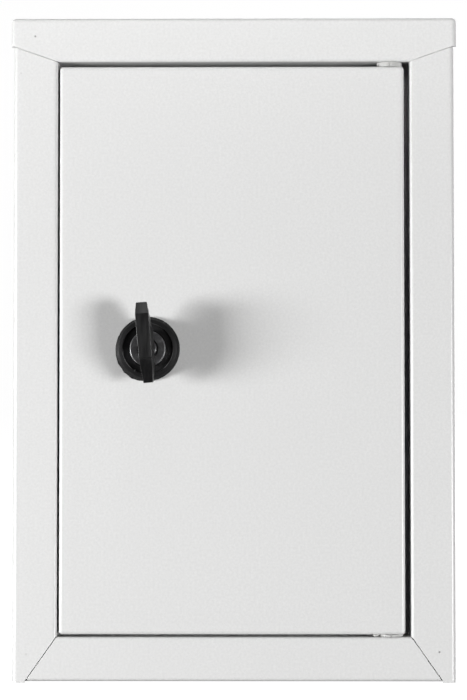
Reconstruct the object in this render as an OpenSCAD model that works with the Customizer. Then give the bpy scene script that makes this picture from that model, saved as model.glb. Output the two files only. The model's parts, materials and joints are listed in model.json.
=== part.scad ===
// Steel wall enclosure with a flush hinged door, quarter-turn lock and removable key.
// Frame: +X to the viewer's right, front faces -Y, +Z up.
// Origin: centre of the four wall-fixing holes, on the outer face of the back.

/* [Body] */
// width of the body over its side walls
body_w = 200; // [180:1:240]
// height of the body without the roof sheet
body_h = 300; // [270:1:360]
// depth from the back's outer face to the front of the frame
body_d = 150; // [120:1:200]
// sheet thickness of body, cap, floor and door
sheet = 1.2; // [1.0:0.1:1.5]
// outer radius of the main bends
bend_r = 2.0; // [1.8:0.1:2.5]

/* [Front frame] */
// width of the side strips of the frame
strip_w = 20; // [18:0.5:24]
// height of the top strip, measured from the top of the cap
strip_top = 20; // [18:0.5:24]
// height of the bottom strip, measured from the foot of the side walls
strip_bot = 20.4; // [18:0.2:24]
// outer radius of the bends round the opening
lip_r = 1.6; // [1.6:0.1:1.9]
// depth of the gutter behind the opening
lip_d = 16; // [15.6:0.2:18]
// how far the sealing edge stands in from the opening, at the sides
gutter_w = 18.2; // [18.2:0.2:19]
// how far the sealing edge stands in from the opening, above and below
gutter_h = 14; // [13.6:0.2:15]
// height of the cap's side flanges
cap_flange = 13; // [10:0.1:16]
// the side flanges' lower edge steps up by this much behind the front corners
cap_rise = 2; // [1:0.1:3]
// width of the two lower corner seams
seam_low = 0.35; // [0.1:0.05:0.5]

/* [Door] */
// gap beside the door, lock side
gap_left = 0.95; // [0.8:0.05:1.5]
// gap beside the door, hinge side
gap_right = 2.65; // [2.5:0.05:3.2]
// gap above the door
gap_top = 2.2; // [1.5:0.1:2.5]
// gap below the door
gap_bot = 1.1; // [0.9:0.1:1.8]
// depth of the door's folded edge
pan_d = 11; // [9:0.5:11.5]
// small relief cut at the door's corners
corner_cut = 1.2; // [0.8:0.1:1.5]

/* [Hinges] */
// pivot axis, in from the door's hinge-side edge
pivot_in = 6.25; // [6:0.05:6.6]
// pivot axis, behind the front face
pivot_back = 5.8; // [5.7:0.05:6.2]
// radius of the hinge pins
pin_r = 2.5; // [2:0.1:3]
// radius of the bush flanges that fill the gap
bush_r = 5.7; // [5:0.1:5.7]

/* [Lock] */
// lock axis, to the left of the body's centre
lock_x = 38.8; // [30:0.2:45]
// lock axis above the middle of the body
lock_z = 0.4; // [-20:0.2:20]
// angle of the lock and key at rest, from upright
key_tilt = 5; // [0:1:10]
// outer radius of the bezel
bezel_r = 14.45; // [13:0.05:16]
// radius of the turning disc
rotor_r = 8.1; // [7.5:0.1:8.5]
// length of the cam from the lock axis to its tip
cam_len = 37; // [34:0.5:40]

/* [Inside] */
// width of the mounting plate
plate_w = 150; // [130:1:154]
// height of the mounting plate
plate_h = 228; // [200:1:236]
// distance of the wall-fixing holes, across
hole_dx = 150; // [130:1:160]
// distance of the wall-fixing holes, up and down
hole_dz = 250; // [240:1:256]

/* [Hidden] */
fn_s = 48;
fn_m = 72;
hw = body_w/2;
hh = body_h/2;
t = sheet;
r_in = lip_r - t;
ox = hw - strip_w;                  // half width of the frame opening
oz_t = hh + t - strip_top;          // upper edge of the frame opening
oz_b = -hh + strip_bot;             // lower edge of the frame opening
up_d = 7.5;                         // sealing edge: tip behind the front
floor_lift = 0.5;                   // floor sheet stands this far above the side walls' feet
cap_z = hh + t - cap_flange;        // lower edge of the cap's side flanges
seam = 0.1;
foot_x = hw - 5.95;                 // lower end of the bottom seams
d_x0 = -ox + gap_left;              // door outline
d_x1 = ox - gap_right;
d_z0 = oz_b + gap_bot;
d_z1 = oz_t - gap_top;
px = d_x1 - pivot_in;               // hinge axis
py = -body_d + pivot_back;
pad_frame = 3;
pad_door = 2.5;
disc_y = -body_d - 4.6;             // front of the turning disc
cam_y = -body_d + lip_d + 0.5;      // front of the cam
cam_t = 3;
seal_t = body_d - up_d + 0.1;      // door seal ends here, in front of the sealing edge
plate_y = -12;
earth_x = hw - 13;
earth_z = -hh + 38;
gl_y = -body_d/2;
gl_cx = 55;  gl_cy = 35;            // half size of the cut-out in the floor
gl_px = 67;  gl_py = 47;            // half size of the gland plate
st_x = 61;   st_y = 41;             // gland studs
sill = -hh + floor_lift + t;        // upper face of the floor sheet
de_x = 48;                          // door earth stud
de_z = d_z0 + 26;

// ---------- helpers ----------
module quarter(cu, cv, su, sv, ro, ri) {
  translate([cu, cv]) intersection() {
    difference() { circle(r = ro, $fn = fn_s); circle(r = ri, $fn = fn_s); }
    translate([su > 0 ? 0 : -ro - 1, sv > 0 ? 0 : -ro - 1]) square([ro + 1, ro + 1]);
  }
}
module sq(x0, x1, y0, y1) { translate([x0, y0]) square([x1 - x0, y1 - y0]); }
module bx(x0, x1, y0, y1, z0, z1) { translate([x0, y0, z0]) cube([x1 - x0, y1 - y0, z1 - z0]); }
module rsq(x0, x1, y0, y1, r) {
  sq(x0 + r, x1 - r, y0, y1);
  sq(x0, x1, y0 + r, y1 - r);
  for (x = [x0 + r, x1 - r]) for (y = [y0 + r, y1 - r]) translate([x, y]) circle(r = r, $fn = fn_s);
}
// cylinder along Y from y0 to y1
module cyl_y(x, z, y0, y1, r, n) { translate([x, y0, z]) rotate([-90, 0, 0]) cylinder(r = r, h = y1 - y0, $fn = n); }
module cyl_z(x, y, z0, z1, r, n) { translate([x, y, z0]) cylinder(r = r, h = z1 - z0, $fn = n); }

// folded edge round the opening: u away from the opening, v back from the front
module fold_strip(u1) { quarter(lip_r, lip_r, -1, -1, lip_r, r_in); sq(lip_r, u1, 0, t); }
module fold_lip(v1) { sq(0, t, lip_r, v1); }
module fold_floor(g) {
  quarter(t - lip_r, lip_d - lip_r, 1, 1, lip_r, r_in);
  sq(-g + lip_r, t - lip_r, lip_d - t, lip_d);
  quarter(-g + lip_r, lip_d - lip_r, -1, 1, lip_r, r_in);
}
module fold_edge(g) { sq(-g, -g + t, up_d, lip_d - lip_r); }

// XZ outline pushed through the depth
module through(y0, y1) { translate([0, y1, 0]) rotate([90, 0, 0]) linear_extrude(y1 - y0) children(); }

// block with rounded upper and front edges, open shape at the back
module rblock(x0, x1, y0, y1, z0, z1, r) {
  bx(x0 + r, x1 - r, y0 + r, y1, z0, z1);
  bx(x0 + r, x1 - r, y0, y1, z0, z1 - r);
  bx(x0, x1, y0 + r, y1, z0, z1 - r);
  for (x = [x0 + r, x1 - r]) {
    translate([x, y0 + r, z0]) cylinder(r = r, h = z1 - r - z0, $fn = fn_s);
    translate([x, y0 + r, z1 - r]) rotate([-90, 0, 0]) cylinder(r = r, h = y1 - y0 - r, $fn = fn_s);
    translate([x, y0 + r, z1 - r]) sphere(r = r, $fn = fn_s);
  }
  translate([x0 + r, y0 + r, z1 - r]) rotate([0, 90, 0]) cylinder(r = r, h = x1 - x0 - 2*r, $fn = fn_s);
}

// tray opening to the back, with rounded front edges
module tray_solid(x0, x1, z0, z1, y0, y1, r) {
  intersection() {
    translate([0, 0, z0]) linear_extrude(z1 - z0) union() {
      sq(x0, x1, y0 + r, y1);
      sq(x0 + r, x1 - r, y0, y1);
      for (x = [x0 + r, x1 - r]) translate([x, y0 + r]) circle(r = r, $fn = fn_s);
    }
    translate([x0, 0, 0]) rotate([90, 0, 90]) linear_extrude(x1 - x0) union() {
      sq(y0 + r, y1, z0, z1);
      sq(y0, y1, z0 + r, z1 - r);
      for (z = [z0 + r, z1 - r]) translate([y0 + r, z]) circle(r = r, $fn = fn_s);
    }
  }
}

// ---------- body ----------
module side_strip_outline() {
  polygon([[-hw - 1, -hh], [-foot_x - seam_low, -hh], [-foot_x - seam_low, -hh + floor_lift],
           [-ox - seam_low, oz_b], [-ox + 1, oz_b], [-ox + 1, oz_t - seam], [-ox, oz_t - seam],
           [-hw, cap_z - seam], [-hw - 1, cap_z - seam]]);
}
module wrap_half() {
  // back and side wall
  translate([0, 0, -hh]) linear_extrude(body_h) sq(-hw + bend_r, 0.01, -t, 0);
  translate([0, 0, -hh]) linear_extrude(body_h - bend_r + t) union() {
    quarter(-hw + bend_r, -bend_r, -1, 1, bend_r, bend_r - t);
    sq(-hw, -hw + t, -body_d + bend_r, -bend_r);
  }
  // front corner, strip and first bend, trimmed along the corner seams
  intersection() {
    translate([0, 0, -hh]) linear_extrude(body_h) union() {
      quarter(-hw + bend_r, -body_d + bend_r, -1, -1, bend_r, bend_r - t);
      translate([-ox, -body_d]) mirror([1, 0]) fold_strip(strip_w - bend_r);
    }
    through(-body_d - 1, -body_d + 5) side_strip_outline();
  }
  // lip and gutter
  translate([-ox, -body_d, oz_b]) linear_extrude(oz_t - oz_b) mirror([1, 0]) union() {
    fold_lip(lip_d - lip_r);
    fold_floor(gutter_w);
  }
  // sealing edge
  translate([-ox, -body_d, oz_b + gutter_h - t]) linear_extrude(oz_t - oz_b - 2*gutter_h + 2*t) mirror([1, 0]) fold_edge(gutter_w);
}
module body_wrap() color("gainsboro") difference() {
  union() {
    wrap_half();
    mirror([1, 0, 0]) wrap_half();
    // gutter corners are left square where the top and bottom gutters run in
    for (s = [-1, 1]) {
      bx(s > 0 ? ox - gutter_w : -ox + gutter_w - lip_r, s > 0 ? ox - gutter_w + lip_r : -ox + gutter_w, -body_d + lip_d - t, -body_d + lip_d, oz_b, oz_b + gutter_h - t);
      bx(s > 0 ? ox - gutter_w : -ox + gutter_w - lip_r, s > 0 ? ox - gutter_w + lip_r : -ox + gutter_w, -body_d + lip_d - t, -body_d + lip_d, oz_t - gutter_h + t, oz_t);
    }
  }
  for (x = [-1, 1]) for (z = [-1, 1]) cyl_y(x*hole_dx/2, z*hole_dz/2, -t - 1, 1, 4.25, fn_m);
}

module cap_shape() {
  // roof, side flanges and front strip
  intersection() {
    difference() {
      rblock(-hw - t, hw + t, -body_d, 0, oz_t, hh + t, bend_r);
      rblock(-hw, hw, -body_d + t, 1, oz_t - 1, hh, bend_r - t);
    }
    union() {
      bx(-hw - 5, hw + 5, -body_d - 5, -body_d + bend_r + 0.2, cap_z, hh + 5);
      bx(-hw - 5, hw + 5, -body_d + bend_r + 0.1, 5, cap_z + cap_rise, hh + 5);
      through(-body_d - 1, -body_d + t) polygon([[-hw, cap_z + 0.01], [-hw, cap_z],
        [-ox - lip_r*2.74, oz_t + lip_r], [ox + lip_r*2.74, oz_t + lip_r], [hw, cap_z], [hw, cap_z + 0.01]]);
    }
  }
  // bend below the strip, mitred at its ends
  intersection() {
    translate([ox + 5, -body_d, oz_t]) rotate([0, -90, 0]) linear_extrude(2*ox + 10) fold_strip(lip_r + 0.01);
    through(-body_d - 1, -body_d + 5) polygon([[-hw, cap_z], [-ox, oz_t], [ox, oz_t], [hw, cap_z]]);
  }
  // lip, gutter and sealing edge
  translate([ox + t, -body_d, oz_t]) rotate([0, -90, 0]) linear_extrude(2*ox + 2*t) fold_lip(lip_d - lip_r);
  for (s = [-1, 1]) bx(s > 0 ? ox - gutter_w : -ox - t, s > 0 ? ox + t : -ox + gutter_w, -body_d + lip_d - lip_r - 0.01, -body_d + lip_d, oz_t, oz_t + t);
  translate([ox - gutter_w, -body_d, oz_t]) rotate([0, -90, 0]) linear_extrude(2*(ox - gutter_w)) union() { fold_floor(gutter_h); fold_edge(gutter_h); }
}

module bottom_panel() color("gainsboro") difference() {
  union() {
    // floor sheet
    bx(-hw + t + 0.1, hw - t - 0.1, -body_d + lip_r, -t - 0.1, -hh + floor_lift, sill);
    // front strip with its lower and upper bends, trimmed along the corner seams
    intersection() {
      translate([-foot_x, -body_d, oz_b]) rotate([0, 90, 0]) linear_extrude(2*foot_x) union() {
        fold_strip(strip_bot - floor_lift - lip_r);
        quarter(strip_bot - floor_lift - lip_r, lip_r, 1, -1, lip_r, r_in);
      }
      through(-body_d - 1, -body_d + 5) polygon([[-foot_x, -hh], [-foot_x, -hh + floor_lift], [-ox, oz_b], [ox, oz_b], [foot_x, -hh + floor_lift], [foot_x, -hh]]);
    }
    // lip, gutter and sealing edge
    translate([-ox - t, -body_d, oz_b]) rotate([0, 90, 0]) linear_extrude(2*ox + 2*t) fold_lip(lip_d - lip_r);
    for (s = [-1, 1]) bx(s > 0 ? ox - gutter_w : -ox - t, s > 0 ? ox + t : -ox + gutter_w, -body_d + lip_d - lip_r - 0.01, -body_d + lip_d, oz_b - t, oz_b);
    translate([-ox + gutter_w, -body_d, oz_b]) rotate([0, 90, 0]) linear_extrude(2*(ox - gutter_w)) union() { fold_floor(gutter_h); fold_edge(gutter_h); }
  }
  // cut-out for the gland plate
  translate([0, gl_y, -hh - 1]) linear_extrude(5) rsq(-gl_cx, gl_cx, -gl_cy, gl_cy, 5);
  // pin hole, open to a short drain slot
  translate([px, py, oz_b - t - 1]) linear_extrude(t + 2) {
    circle(r = pin_r + 0.02, $fn = fn_s);
    sq(-7, 0, -2.5, 2.5);
    translate([-7, 0]) circle(r = 2.5, $fn = fn_s);
  }
}

module top_cap() color("gainsboro") difference() {
  cap_shape();
  cyl_z(px, py, oz_t - 1, oz_t + 5, pin_r + 0.02, fn_s);
}

module frame_hinge_pads() color("silver") difference() {
  union() {
    bx(px - 12, px + 8, -body_d + lip_r + 0.1, -body_d + 12.4, oz_t + t, oz_t + t + pad_frame);
    bx(px - 12, px + 8, -body_d + lip_r + 0.1, -body_d + 12.4, oz_b - t - pad_frame, oz_b - t);
  }
  cyl_z(px, py, -hh, hh, pin_r + 0.02, fn_s);
}

// pins drop through the frame into the door's bushes
module one_pin(g) {
  head0 = t + pad_frame;
  tip = -g - t - pad_door - 1.9;
  translate([0, 0, head0]) cylinder(r = 4.5, h = 2, $fn = fn_s);
  translate([0, 0, -g - t - pad_door - 0.1]) cylinder(r = pin_r, h = head0 + g + t + pad_door + 0.1, $fn = fn_s);
  translate([0, 0, -g - t - pad_door - 0.9]) cylinder(r = pin_r - 0.6, h = 0.81, $fn = fn_s);
  translate([0, 0, tip]) cylinder(r1 = pin_r - 0.4, r2 = pin_r, h = 0.4, $fn = fn_s);
  translate([0, 0, tip + 0.4]) cylinder(r = pin_r, h = 0.6, $fn = fn_s);
}
module hinge_pins() color("silver") {
  translate([px, py, oz_t]) one_pin(gap_top);
  translate([px, py, oz_b]) mirror([0, 0, 1]) one_pin(gap_bot);
}
module one_clip(g) {
  translate([0, 0, -g - t - pad_door - 0.88]) linear_extrude(0.7) difference() {
    circle(r = pin_r + 1.6, $fn = fn_s);
    circle(r = pin_r - 0.58, $fn = fn_s);
    sq(-1.3, 1.3, 0, pin_r + 3);
  }
}
module hinge_clips() color("dimgray") {
  translate([px, py, oz_t]) one_clip(gap_top);
  translate([px, py, oz_b]) mirror([0, 0, 1]) one_clip(gap_bot);
}

// ---------- inside of the body ----------
module each_stud() { for (x = [-1, 1]) for (z = [-1, 1]) translate([x*(plate_w/2 - 10), 0, z*(plate_h/2 - 10)]) children(); }
module mounting_plate() color("lightgray") difference() {
  through(plate_y - 2, plate_y) rsq(-plate_w/2, plate_w/2, -plate_h/2, plate_h/2, 4);
  each_stud() cyl_y(0, 0, plate_y - 3, plate_y + 1, 3.3, fn_s);
}
module plate_studs() color("silver") each_stud() {
  cyl_y(0, 0, plate_y, -t, 6, fn_s);
  cyl_y(0, 0, -23, plate_y + 0.01, 3, fn_s);
}
module plate_washers() color("silver") each_stud() difference() {
  cyl_y(0, 0, plate_y - 3.6, plate_y - 2, 6.25, fn_s);
  cyl_y(0, 0, plate_y - 4, plate_y - 1, 3.2, fn_s);
}
module hex_nut_y(y0, y1, af, r) difference() {
  translate([0, y0, 0]) rotate([-90, 0, 0]) cylinder(r = af/2/cos(30), h = y1 - y0, $fn = 6);
  cyl_y(0, 0, y0 - 1, y1 + 1, r, fn_s);
}
module plate_nuts() color("silver") each_stud() hex_nut_y(plate_y - 8.6, plate_y - 3.6, 10, 3.02);

module body_earth_stud() color("peru") translate([earth_x, 0, earth_z]) {
  cyl_y(0, 0, -3, -t, 5, fn_s);
  cyl_y(0, 0, -20, -2.99, 3, fn_s);
}
module body_earth_washer() color("gold") translate([earth_x, 0, earth_z]) difference() {
  cyl_y(0, 0, -4.6, -3, 6, fn_s);
  cyl_y(0, 0, -5, -2, 3.2, fn_s);
}
module body_earth_nut() color("gold") translate([earth_x, 0, earth_z]) hex_nut_y(-9.6, -4.6, 10, 3.02);

module gland_gasket() color("black") translate([0, gl_y, sill]) linear_extrude(2) difference() {
  rsq(-gl_px, gl_px, -gl_py, gl_py, 6);
  rsq(-gl_cx, gl_cx, -gl_cy, gl_cy, 5);
  for (x = [-1, 1]) for (y = [-1, 1]) translate([x*st_x, y*st_y]) circle(r = 2.7, $fn = fn_s);
}
module gland_plate() color("gainsboro") translate([0, gl_y, sill + 2]) linear_extrude(1.5) difference() {
  rsq(-gl_px, gl_px, -gl_py, gl_py, 6);
  for (x = [-1, 1]) translate([x*27, 0]) circle(r = 10.2, $fn = fn_m);
  for (x = [-1, 1]) for (y = [-1, 1]) translate([x*st_x, y*st_y]) circle(r = 2.7, $fn = fn_s);
}
module gland_studs() color("silver") for (x = [-1, 1]) for (y = [-1, 1])
  cyl_z(x*st_x, gl_y + y*st_y, sill, sill + 10, 2.5, fn_s);
module gland_nuts() color("silver") for (x = [-1, 1]) for (y = [-1, 1]) translate([x*st_x, gl_y + y*st_y, sill + 3.5]) difference() {
  union() {
    cylinder(r = 5.5, h = 1.2, $fn = fn_s);
    translate([0, 0, 1.19]) cylinder(r = 4/cos(30), h = 3.8, $fn = 6);
  }
  translate([0, 0, -1]) cylinder(r = 2.52, h = 8, $fn = fn_s);
}

// ---------- door ----------
module lock_hole(c) {
  intersection() {
    circle(r = 11 + c, $fn = fn_m);
    sq(-10 - c, 10 + c, -20, 20);
  }
}
module door_panel() color("gainsboro") difference() {
  tray_solid(d_x0, d_x1, d_z0, d_z1, -body_d, -body_d + pan_d, lip_r);
  tray_solid(d_x0 + t, d_x1 - t, d_z0 + t, d_z1 - t, -body_d + t, -body_d + pan_d + 1, r_in);
  for (c = [[d_x0, d_z0], [d_x0, d_z1], [d_x1, d_z0], [d_x1, d_z1]])
    translate([c[0], 0, c[1]]) through(-body_d - 1, -body_d + pan_d + 1) rotate(45) square(corner_cut*1.41421, center = true);
  translate([-lock_x, 0, lock_z]) through(-body_d - 1, -body_d + t + 1) lock_hole(0.2);
  cyl_z(px, py, d_z0 - 1, d_z0 + t + 1, 4.02, fn_s);
  cyl_z(px, py, d_z1 - t - 1, d_z1 + 1, 4.02, fn_s);
}
module door_seal() color("black") {
  x = ox - gutter_w + t/2;
  e = gutter_h - t/2;
  through(-body_d + t, -seal_t) difference() {
    rsq(-x - 5, x + 5, oz_b + e - 5, oz_t - e + 5, 6);
    rsq(-x + 5, x - 5, oz_b + e + 5, oz_t - e - 5, 2);
  }
}
module door_hinge_pads() color("silver") difference() {
  union() {
    bx(px - 8, px + 4.4, -body_d + lip_r + 0.1, py + 5, d_z1 - t - pad_door, d_z1 - t);
    bx(px - 8, px + 4.4, -body_d + lip_r + 0.1, py + 5, d_z0 + t, d_z0 + t + pad_door);
  }
  cyl_z(px, py, -hh, hh, 4.02, fn_s);
}
// bush seen from its barrel end: flange on the door's edge, barrel into the door
module one_bush(g, tab) difference() {
  union() {
    cylinder(r = bush_r, h = g - 0.1, $fn = fn_m);
    if (tab > 0) linear_extrude(g - 0.1) rsq(-tab, 0, -3.2, 3.2, 1);
    translate([0, 0, -t - pad_door]) cylinder(r = 4, h = t + pad_door + 0.01, $fn = fn_m);
  }
  translate([0, 0, -10]) cylinder(r = pin_r + 0.05, h = 20, $fn = fn_s);
  // fine moulded grooves round the flange
  for (a = [0 : 60 : 300]) rotate(a) translate([0, -bush_r - 0.32, 0.25]) cylinder(r = 0.7, h = g, $fn = 24);
}
module hinge_bushes() color("whitesmoke") {
  translate([px, py, d_z1]) one_bush(gap_top, 0);
  translate([px, py, d_z0]) mirror([0, 0, 1]) one_bush(gap_bot, 7.95);
}
module door_earth_stud() color("peru") translate([de_x, 0, de_z]) {
  cyl_y(0, 0, -body_d + t, -body_d + t + 1.5, 4.5, fn_s);
  cyl_y(0, 0, -body_d + t + 1.49, -body_d + 14, 3, fn_s);
}
module door_earth_washer() color("gold") translate([de_x, 0, de_z]) difference() {
  cyl_y(0, 0, -body_d + t + 1.5, -body_d + t + 3.1, 6, fn_s);
  cyl_y(0, 0, -body_d, -body_d + 6, 3.2, fn_s);
}
module door_earth_nut() color("gold") translate([de_x, 0, de_z]) hex_nut_y(-body_d + t + 3.1, -body_d + t + 8.1, 10, 3.02);

// ---------- lock ----------
module at_lock() { translate([-lock_x, 0, lock_z]) children(); }
// round body about the lock axis from (radius, distance in front of the door) pairs
module spin_y(pts) { rotate([90, 0, 0]) rotate_extrude($fn = 96) polygon(pts); }

module lock_seal() color("black") at_lock() translate([-0.35, 0, -0.3]) through(-body_d - 0.8, -body_d) difference() {
  circle(r = bezel_r - 0.1, $fn = fn_m);
  circle(r = 11.9, $fn = fn_m);
}
module lock_housing() color("#1c1c1e") at_lock() {
  // bezel
  translate([0, -body_d, 0]) spin_y([[rotor_r + 0.05, 0.8], [bezel_r - 0.15, 0.8], [bezel_r, 0.95], [bezel_r, 1.6], [13.1, 3.5], [11.9, 3.9], [11.45, 3.9],
    [11.35, 3.3], [9.2, 2.7], [rotor_r + 0.35, 2.7], [rotor_r + 0.05, 2.5]]);
  // barrel with two flats
  difference() {
    through(-body_d - 0.85, cam_y - 0.5) lock_hole(0);
    cyl_y(0, 0, -body_d - 2, cam_y + 2, rotor_r + 0.05, 96);
  }
}
module lock_nut() color("silver") at_lock() difference() {
  translate([0, -body_d + t, 0]) rotate([-90, 0, 0]) cylinder(r = 13.5/cos(30), h = 5, $fn = 6);
  cyl_y(0, 0, -body_d, -body_d + 10, 11.03, fn_m);
}

module turned() { at_lock() rotate([0, -key_tilt, 0]) children(); }
socket_d = 11;
bit_l = 6;
module lock_rotor() color("#4a4b4e") turned() {
  difference() {
    union() {
      translate([0, disc_y, 0]) rotate([-90, 0, 0]) cylinder(r1 = rotor_r - 0.4, r2 = rotor_r, h = 0.4, $fn = 96);
      cyl_y(0, 0, disc_y + 0.4, cam_y, rotor_r, 96);
      bx(-4, 4, cam_y - 0.01, cam_y + cam_t - 0.2, -4, 4);
    }
    // socket for the key
    cyl_y(0, 0, disc_y - 1, disc_y + socket_d, 4.25, fn_m);
    translate([0, disc_y, 0]) rotate([-90, 0, 0]) cylinder(r1 = 5.0, r2 = 4.25, h = 0.8, $fn = fn_m);
    // tapped hole for the cam screw
    cyl_y(0, 0, cam_y + cam_t - 12, cam_y + cam_t + 1, 3.02, fn_s);
  }
  // post and two bits inside the socket
  cyl_y(0, 0, disc_y + socket_d - bit_l, disc_y + socket_d + 0.01, 1.9, fn_s);
  difference() {
    bx(-4.3, 4.3, disc_y + socket_d - bit_l, disc_y + socket_d + 0.01, -1.4, 1.4);
    difference() {
      cyl_y(0, 0, disc_y, disc_y + 30, 10, fn_m);
      cyl_y(0, 0, disc_y - 1, disc_y + 31, 4.3, fn_m);
    }
  }
}
module lock_cam() color("silver") turned() difference() {
  through(cam_y, cam_y + cam_t) union() {
    circle(r = 9, $fn = fn_m);
    sq(-7, 7, -cam_len + 3, 0);
    sq(-4, 4, -cam_len, 0);
    for (x = [-4, 4]) translate([x, -cam_len + 3]) circle(r = 3, $fn = fn_s);
  }
  bx(-4.05, 4.05, cam_y - 1, cam_y + cam_t + 1, -4.05, 4.05);
}
module cam_washer() color("silver") turned() difference() {
  cyl_y(0, 0, cam_y + cam_t, cam_y + cam_t + 1.4, 7, fn_s);
  cyl_y(0, 0, cam_y, cam_y + cam_t + 3, 3.2, fn_s);
}
module cam_screw() color("silver") turned() {
  difference() {
    translate([0, cam_y + cam_t + 1.4, 0]) rotate([-90, 0, 0]) cylinder(r = 5/cos(30), h = 4, $fn = 6);
    translate([0, cam_y + cam_t + 4.4, 0]) rotate([-90, 0, 0]) cylinder(r1 = 2.5, r2 = 3, h = 1.1, $fn = fn_s);
  }
  cyl_y(0, 0, cam_y + cam_t - 8, cam_y + cam_t + 1.41, 3, fn_s);
}
key_h = 18;
module wing_key() color("#1f1f21") turned() {
  // wing: side outline and front outline together
  intersection() {
    translate([-6, disc_y, 0]) rotate([90, 0, 90]) linear_extrude(12) polygon([
      [-1.6, 6.2], [-9.4, 19.8], [-12.8, 20.4], [-key_h, 15], [-key_h, -5], [-10.7, -15.6], [-7.4, -15.2], [-1.6, -6.2]]);
    through(disc_y - 30, disc_y + 5) polygon([
      [-2.25, -15.6], [-2.85, -5], [-2.85, 5], [-2.95, 15], [-2.25, 20.4],
      [2.25, 20.4], [2.95, 15], [2.85, 5], [2.85, -5], [2.25, -15.6]]);
  }
  // shank with its slotted end
  difference() {
    union() {
      cyl_y(0, 0, disc_y - 7, disc_y + socket_d - 0.2, 4.2, fn_m);
      cyl_y(0, 0, disc_y - 2.6, disc_y - 1.2, 4.9, fn_m);
    }
    cyl_y(0, 0, disc_y + socket_d - bit_l - 0.4, disc_y + socket_d + 1, 2.0, fn_s);
    bx(-6, 6, disc_y + socket_d - bit_l - 0.4, disc_y + socket_d + 1, -1.5, 1.5);
  }
}

body_wrap();
top_cap();
bottom_panel();
frame_hinge_pads();
hinge_pins();
hinge_clips();
mounting_plate();
plate_studs();
plate_washers();
plate_nuts();
body_earth_stud();
body_earth_washer();
body_earth_nut();
gland_gasket();
gland_plate();
gland_studs();
gland_nuts();
door_panel();
door_seal();
door_hinge_pads();
hinge_bushes();
door_earth_stud();
door_earth_washer();
door_earth_nut();
lock_seal();
lock_housing();
lock_nut();
lock_rotor();
lock_cam();
cam_washer();
cam_screw();
wing_key();
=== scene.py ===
import json
import math

import bmesh
import bpy
from mathutils import Matrix, Vector


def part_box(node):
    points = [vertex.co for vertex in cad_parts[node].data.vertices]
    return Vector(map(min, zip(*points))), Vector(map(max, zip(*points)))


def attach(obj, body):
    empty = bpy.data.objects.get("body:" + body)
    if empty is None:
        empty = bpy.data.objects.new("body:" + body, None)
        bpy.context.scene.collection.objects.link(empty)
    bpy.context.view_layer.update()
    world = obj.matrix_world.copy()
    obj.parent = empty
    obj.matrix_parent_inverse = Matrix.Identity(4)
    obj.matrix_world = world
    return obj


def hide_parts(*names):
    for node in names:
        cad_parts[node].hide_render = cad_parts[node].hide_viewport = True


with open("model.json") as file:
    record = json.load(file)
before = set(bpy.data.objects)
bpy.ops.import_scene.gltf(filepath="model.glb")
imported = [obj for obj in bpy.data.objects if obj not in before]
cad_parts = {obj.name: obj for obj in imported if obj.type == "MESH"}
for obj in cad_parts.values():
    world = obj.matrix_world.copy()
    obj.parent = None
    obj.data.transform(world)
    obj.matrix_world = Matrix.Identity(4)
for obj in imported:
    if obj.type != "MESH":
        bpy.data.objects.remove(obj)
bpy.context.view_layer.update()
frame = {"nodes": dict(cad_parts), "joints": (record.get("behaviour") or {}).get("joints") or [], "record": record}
NODES = frame["nodes"]
scene = bpy.context.scene
MM = 0.001
TAU = 2 * math.pi


def box(node):
    """CAD box of a node in millimetres: ((x0, y0, z0), (x1, y1, z1))."""
    lo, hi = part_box(node)
    return tuple(v / MM for v in lo), tuple(v / MM for v in hi)


# ------------------------------------------------------------------ places
JOINT = {j["name"]: j for j in frame["joints"]}
HINGE_X, HINGE_Y = (JOINT["door_swing"]["pos_m"][i] / MM for i in (0, 1))
LOCK_X, LOCK_Z = (JOINT["lock_turn"]["pos_m"][i] / MM for i in (0, 2))
FRONT_Y = JOINT["lock_turn"]["pos_m"][1] / MM
DISC_Y = box("lock_rotor")[0][1]
FOOT_Z = box("body_wrap")[0][2]
TILT = 5.0  # degrees that the lock and key lean to the left at rest


# ------------------------------------------------------------------ camera
def make_camera():
    yaw, pitch, roll = (math.radians(a) for a in (0.4644, 1.9144, -0.018))
    fwd = Vector((-math.sin(yaw) * math.cos(pitch), math.cos(yaw) * math.cos(pitch), math.sin(pitch)))
    right = Vector((math.cos(yaw), math.sin(yaw), 0.0))
    up = right.cross(fwd)
    r2 = right * math.cos(roll) + up * math.sin(roll)
    u2 = up * math.cos(roll) - right * math.sin(roll)
    data = bpy.data.cameras.new("camera")
    data.sensor_width = 36.0
    data.sensor_fit = "AUTO"
    data.lens = 1989.0 * 36.0 / 700.0
    data.clip_start, data.clip_end = 0.02, 60.0
    cam = bpy.data.objects.new("camera", data)
    scene.collection.objects.link(cam)
    m = Matrix((r2, u2, -fwd)).transposed().to_4x4()
    m.translation = Vector((0.0072, -1.050, -0.0302))
    cam.matrix_world = m
    scene.camera = cam


make_camera()
scene.view_settings.view_transform = "Standard"
scene.view_settings.look = "None"


# ------------------------------------------------------------------ light
def area(name, place, aim, size, watts):
    data = bpy.data.lights.new(name, "AREA")
    data.shape = "RECTANGLE"
    data.size, data.size_y = size
    data.energy = watts
    lamp = bpy.data.objects.new(name, data)
    scene.collection.objects.link(lamp)
    lamp.location = Vector(place)
    lamp.rotation_euler = (Vector(aim) - Vector(place)).to_track_quat("-Z", "Y").to_euler()
    return lamp


def softbox(name, turn, rise, away, size, watts):
    """Area light seen from the lock side of the door: turn to the right of the front, rise above it, in degrees."""
    a, e = math.radians(turn), math.radians(rise)
    aim = Vector((0.0, FRONT_Y * MM, 0.0))
    d = Vector((math.sin(a) * math.cos(e), -math.cos(a) * math.cos(e), math.sin(e)))
    return area(name, aim + d * away, aim, size, watts)


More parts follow.
